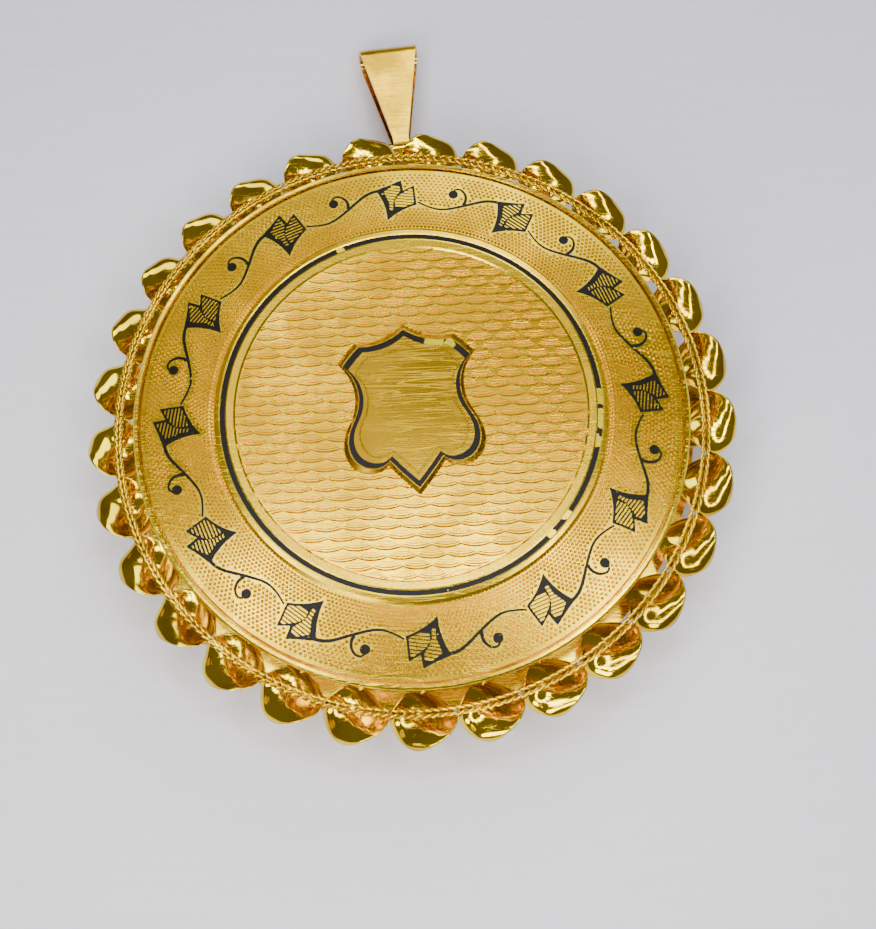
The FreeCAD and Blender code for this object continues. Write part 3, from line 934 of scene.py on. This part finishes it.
@dataclass
class EngravedLeaves:
    """The gold that stands between the black cuts of each leaf."""

    radius: float = 11.27
    turn: float = 1.6
    count: int = 12
    slants: tuple[float, float] = (8.0, 14.0)
    spacing: float = 0.165
    shortest: float = 0.08
    lift: float = 0.03
    root: float = 0.03
    band_radius: float = 9.54
    band_height: float = 5.7
    band_slope: float = 0.0859
    shares: tuple[float, ...] = (0.66, 0.4, 0.42, 0.38, 0.44, 0.6, 0.7, 0.66, 0.54, 0.4, 0.36, 0.4)
    leaf: Leaf = field(default_factory=Leaf)

    def build(self, shop: Workshop) -> None:
        """Lay the gold ribs of all leaves."""
        points: list[Vector] = []
        faces: list[tuple[int, ...]] = []
        for index in range(self.count):
            for outline, slant in zip((self.leaf.back, self.leaf.front), self.slants):
                for rib in self.ribs(outline, slant, self.shares[index]):
                    self.add_rib(points, faces, rib, index)
        piece = mesh_piece("leaf_gold_ribs", points, faces, shop.materials[Slot.ENGRAVED])
        shop.hang(piece, Body.FRONT, Slot.ENGRAVED)

    def ribs(self, outline: tuple[Place, ...], slant: float, share: float) -> list[list[Place]]:
        """Cut an outline into parallel ribs.

        Args:
            outline: The field between the black lines.
            slant: The ribs' angle in degrees.
            share: How much of each pitch is gold.

        Returns:
            Each rib's four corners.
        """
        axis = Vector((cos(radians(slant)), sin(radians(slant))))
        normal = Vector((-axis.y, axis.x))
        corners = [Vector(place) for place in outline]
        levels = [corner.dot(normal) for corner in corners]
        found = []
        level = min(levels) + self.spacing / 2
        while level < max(levels):
            half = self.spacing * share / 2
            low = self.cut(corners, axis, normal, level - half)
            high = self.cut(corners, axis, normal, level + half)
            if low and high:
                found.append([tuple(axis * low[0] + normal * (level - half)),
                              tuple(axis * low[1] + normal * (level - half)),
                              tuple(axis * high[1] + normal * (level + half)),
                              tuple(axis * high[0] + normal * (level + half))])
            level += self.spacing
        return found

    def cut(self, corners: list[Vector], axis: Vector, normal: Vector,
            level: float) -> Place | None:
        """Find where a line crosses an outline first and last.

        Args:
            corners: The outline.
            axis: The line's direction.
            normal: The direction across it.
            level: How far across it lies.

        Returns:
            The two crossings along the line, or None.
        """
        crossings = []
        for start, end in zip(corners, corners[1:] + corners[:1]):
            near, far = start.dot(normal) - level, end.dot(normal) - level
            if near * far < 0:
                crossings.append(start.lerp(end, near / (near - far)).dot(axis))
        if len(crossings) < 2 or max(crossings) - min(crossings) < self.shortest:
            return None
        return min(crossings), max(crossings)

    def add_rib(self, points: list[Vector], faces: list[tuple[int, ...]], rib: list[Place],
                index: int) -> None:
        """Add one rib as a low closed bar.

        Args:
            points: The points so far.
            faces: The faces so far.
            rib: Its four corners.
            index: Which leaf it is on.
        """
        base = len(points)
        for level in (-self.root, self.lift):
            for along, rise in rib:
                reach = self.radius + rise
                angle = radians(90 + self.turn + 360 * index / self.count) + along / self.radius
                up = self.band_height - (reach - self.band_radius) * self.band_slope + level
                points.append(Vector((reach * cos(angle), reach * sin(angle), up)))
        faces += [(base, base + 1, base + 2, base + 3), (base + 7, base + 6, base + 5, base + 4)]
        for side in range(4):
            after = (side + 1) % 4
            faces.append((base + side, base + 4 + side, base + 4 + after, base + after))


@dataclass
class ShieldEdge:
    """The row of fine grains inside the shield's black line."""

    scale: float = 0.86
    turn: float = 3.7
    height: float = 5.94
    pitch: float = 0.15
    grain: float = 0.055
    half: tuple[Place, ...] = (
        (0, 3.82), (-0.55, 3.4), (-1.05, 3.25), (-1.6, 3.18), (-2.15, 3.15), (-2.4, 2.95),
        (-2.53, 2.77), (-2.7, 2.5), (-2.95, 2.28), (-2.7, 1.95), (-2.5, 1.6), (-2.38, 1.2),
        (-2.32, 0.75), (-2.38, 0.28), (-2.52, -0.2), (-2.7, -0.55), (-2.86, -0.9), (-2.96, -1.25),
        (-2.98, -1.6), (-2.88, -2.05), (-2.68, -2.4), (-2.37, -2.66), (-2.0, -2.76),
        (-1.6, -2.68), (-1.2, -2.46), (-0.95, -2.78), (-0.66, -3.12), (-0.33, -3.45), (0, -3.86))

    def outline(self) -> list[Place]:
        """Give both halves of the outline, turned and scaled."""
        mirrored = [(-across, up) for across, up in reversed(self.half[1:-1])]
        angle = radians(self.turn)
        return [((across * cos(angle) - up * sin(angle)) * self.scale,
                 (across * sin(angle) + up * cos(angle)) * self.scale)
                for across, up in (*self.half, *mirrored)]

    def build(self, shop: Workshop) -> None:
        """Set the grains along the outline."""
        line = bpy.data.curves.new("shield_line_route", "CURVE")
        line.dimensions = "3D"
        route = line.splines.new("POLY")
        corners = self.outline()
        route.points.add(len(corners) - 1)
        for point, (across, up) in zip(route.points, corners):
            point.co = (across * MM, up * MM, self.height * MM, 1.0)
        route.use_cyclic_u = True
        guide = bpy.data.objects.new("shield_line_route", line)
        bpy.context.scene.collection.objects.link(guide)
        tree = Pattern("shield_grains", Pitch=self.pitch * MM, Grain=self.grain * MM)
        source = tree.node("GeometryNodeObjectInfo", None, {"Object": guide}).outputs["Geometry"]
        inputs = {"Curve": source, "Length": tree.given("Pitch")}
        spread = tree.node("GeometryNodeCurveToPoints", {"mode": "LENGTH"}, inputs)
        spaced = spread.outputs["Points"]
        sizes = {"Radius": tree.given("Grain"), "Subdivisions": 2}
        grain = tree.node("GeometryNodeMeshIcoSphere", None, sizes).outputs["Mesh"]
        piece = tree.bake(tree.scatter(spaced, grain), shop.materials[Slot.SHIELD], True)
        bpy.data.objects.remove(guide)
        shop.hang(piece, Body.FRONT, Slot.SHIELD)


# ---- camera, light and floor ----


@dataclass(frozen=True)
class Camera:
    """Where the camera stands, in millimetres and degrees."""

    tilt: float = 17.39
    roll: float = 1.03
    turn: float = 1.5
    offset: Triple = (-1.24, 1.16, -66.86)
    aim_height: float = 0.6
    lens: float = 53.42
    sensor: float = 36.0
    clip: Span = (0.002, 10.0)

    def matrix(self) -> Matrix:
        """Work out the camera's place and direction."""
        view = (Matrix.Rotation(radians(self.roll), 3, "Z")
                @ Matrix.Rotation(radians(-self.tilt), 3, "X")
                @ Matrix.Rotation(radians(self.turn), 3, "Z"))
        back = view.transposed()
        centre = -(back @ Vector(self.offset)) + Vector((0, 0, self.aim_height))
        return Matrix.Translation(centre * MM) @ back.to_4x4()

    def build(self) -> None:
        """Make the camera and use it."""
        data = bpy.data.cameras.new("camera")
        data.lens, data.sensor_width, data.sensor_fit = self.lens, self.sensor, "HORIZONTAL"
        data.clip_start, data.clip_end = self.clip
        camera = bpy.data.objects.new("camera", data)
        camera.matrix_world = self.matrix()
        bpy.context.scene.collection.objects.link(camera)
        bpy.context.scene.camera = camera


@dataclass(frozen=True)
class Softbox:
    """One flat lamp."""

    name: str
    place: Triple
    size: float
    power: float
    colour: Colour = (1.0, 1.0, 1.0)

    def build(self) -> None:
        """Make the lamp, aimed at the locket."""
        data = bpy.data.lights.new(self.name, "AREA")
        data.shape = "DISK"
        data.size, data.energy, data.color = self.size * MM, self.power, self.colour
        lamp = bpy.data.objects.new(self.name, data)
        place = Vector(self.place) * MM
        aim = place.to_track_quat("Z", "Y").to_matrix().to_4x4()
        lamp.matrix_world = Matrix.Translation(place) @ aim
        lamp.visible_camera = False
        bpy.context.scene.collection.objects.link(lamp)


@dataclass(frozen=True)
class Studio:
    """The floor, the ring of lamps round the camera and the soft lamps beside it."""

    ring_lamps: int = 12
    ring_radius: float = 30.0
    ring_power: float = 0.0062
    ring_lamp_size: float = 13
    floor_reach: float = 0.6
    floor_drop: float = 0.00002
    room_colour: Colour = (0.72, 0.64, 0.56)
    room_strength: float = 0.24
    lamps: tuple[Softbox, ...] = (
        Softbox("front_left_lamp", (-110, -210, 120), 130, 0.40, (1.0, 0.95, 0.84)),
        Softbox("back_right_lamp", (50, 205, 175), 150, 0.3, (0.80, 0.86, 1.0)),
        Softbox("overhead_lamp", (-50, 150, 300), 70, 0.07),
    )

    def build(self) -> None:
        """Make the floor, the lamps and the dim room."""
        mesh = bpy.data.meshes.new("floor")
        span, low = self.floor_reach, -self.floor_drop
        corners = [(-span, -span, low), (span, -span, low), (span, span, low),
                   (-span, span, low)]
        mesh.from_pydata(corners, [], [(0, 1, 2, 3)])
        mesh.materials.append(Paper().make())
        floor = bpy.data.objects.new("floor", mesh)
        bpy.context.scene.collection.objects.link(floor)
        for index in range(self.ring_lamps):
            angle = TURN * index / self.ring_lamps
            spot = Vector((self.ring_radius * cos(angle), self.ring_radius * sin(angle), 0))
            place = (Camera().matrix() @ (spot * MM)) / MM
            Softbox(f"ring_lamp_{index}", tuple(place), self.ring_lamp_size,
                    self.ring_power).build()
        for lamp in self.lamps:
            lamp.build()
        world = bpy.data.worlds.new("room")
        world.use_nodes = True
        room = world.node_tree.nodes["Background"]
        room.inputs["Color"].default_value = (*self.room_colour, 1.0)
        room.inputs["Strength"].default_value = self.room_strength
        bpy.context.scene.world = world


def main() -> None:
    """Dress the frame and build every piece in order."""
    logging.basicConfig(level=logging.INFO, format="%(name)s: %(message)s")
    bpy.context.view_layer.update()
    Camera().build()
    Studio().build()
    shop = Workshop(Palette())
    shop.dress_cad()
    pieces = (
        RibbonBorder(),
        TwistedWire("outer_twisted_wire", "rope_outer", 14.38, Lay.RIGHT),
        TwistedWire("inner_twisted_wire", "rope_inner", 14.14, Lay.LEFT),
        StippledBand(),
        TurnedDisc(),
        EngravedLeaves(),
        ShieldEdge(),
    )
    for piece in pieces:
        piece.build(shop)


if __name__ == "__main__":
    main()
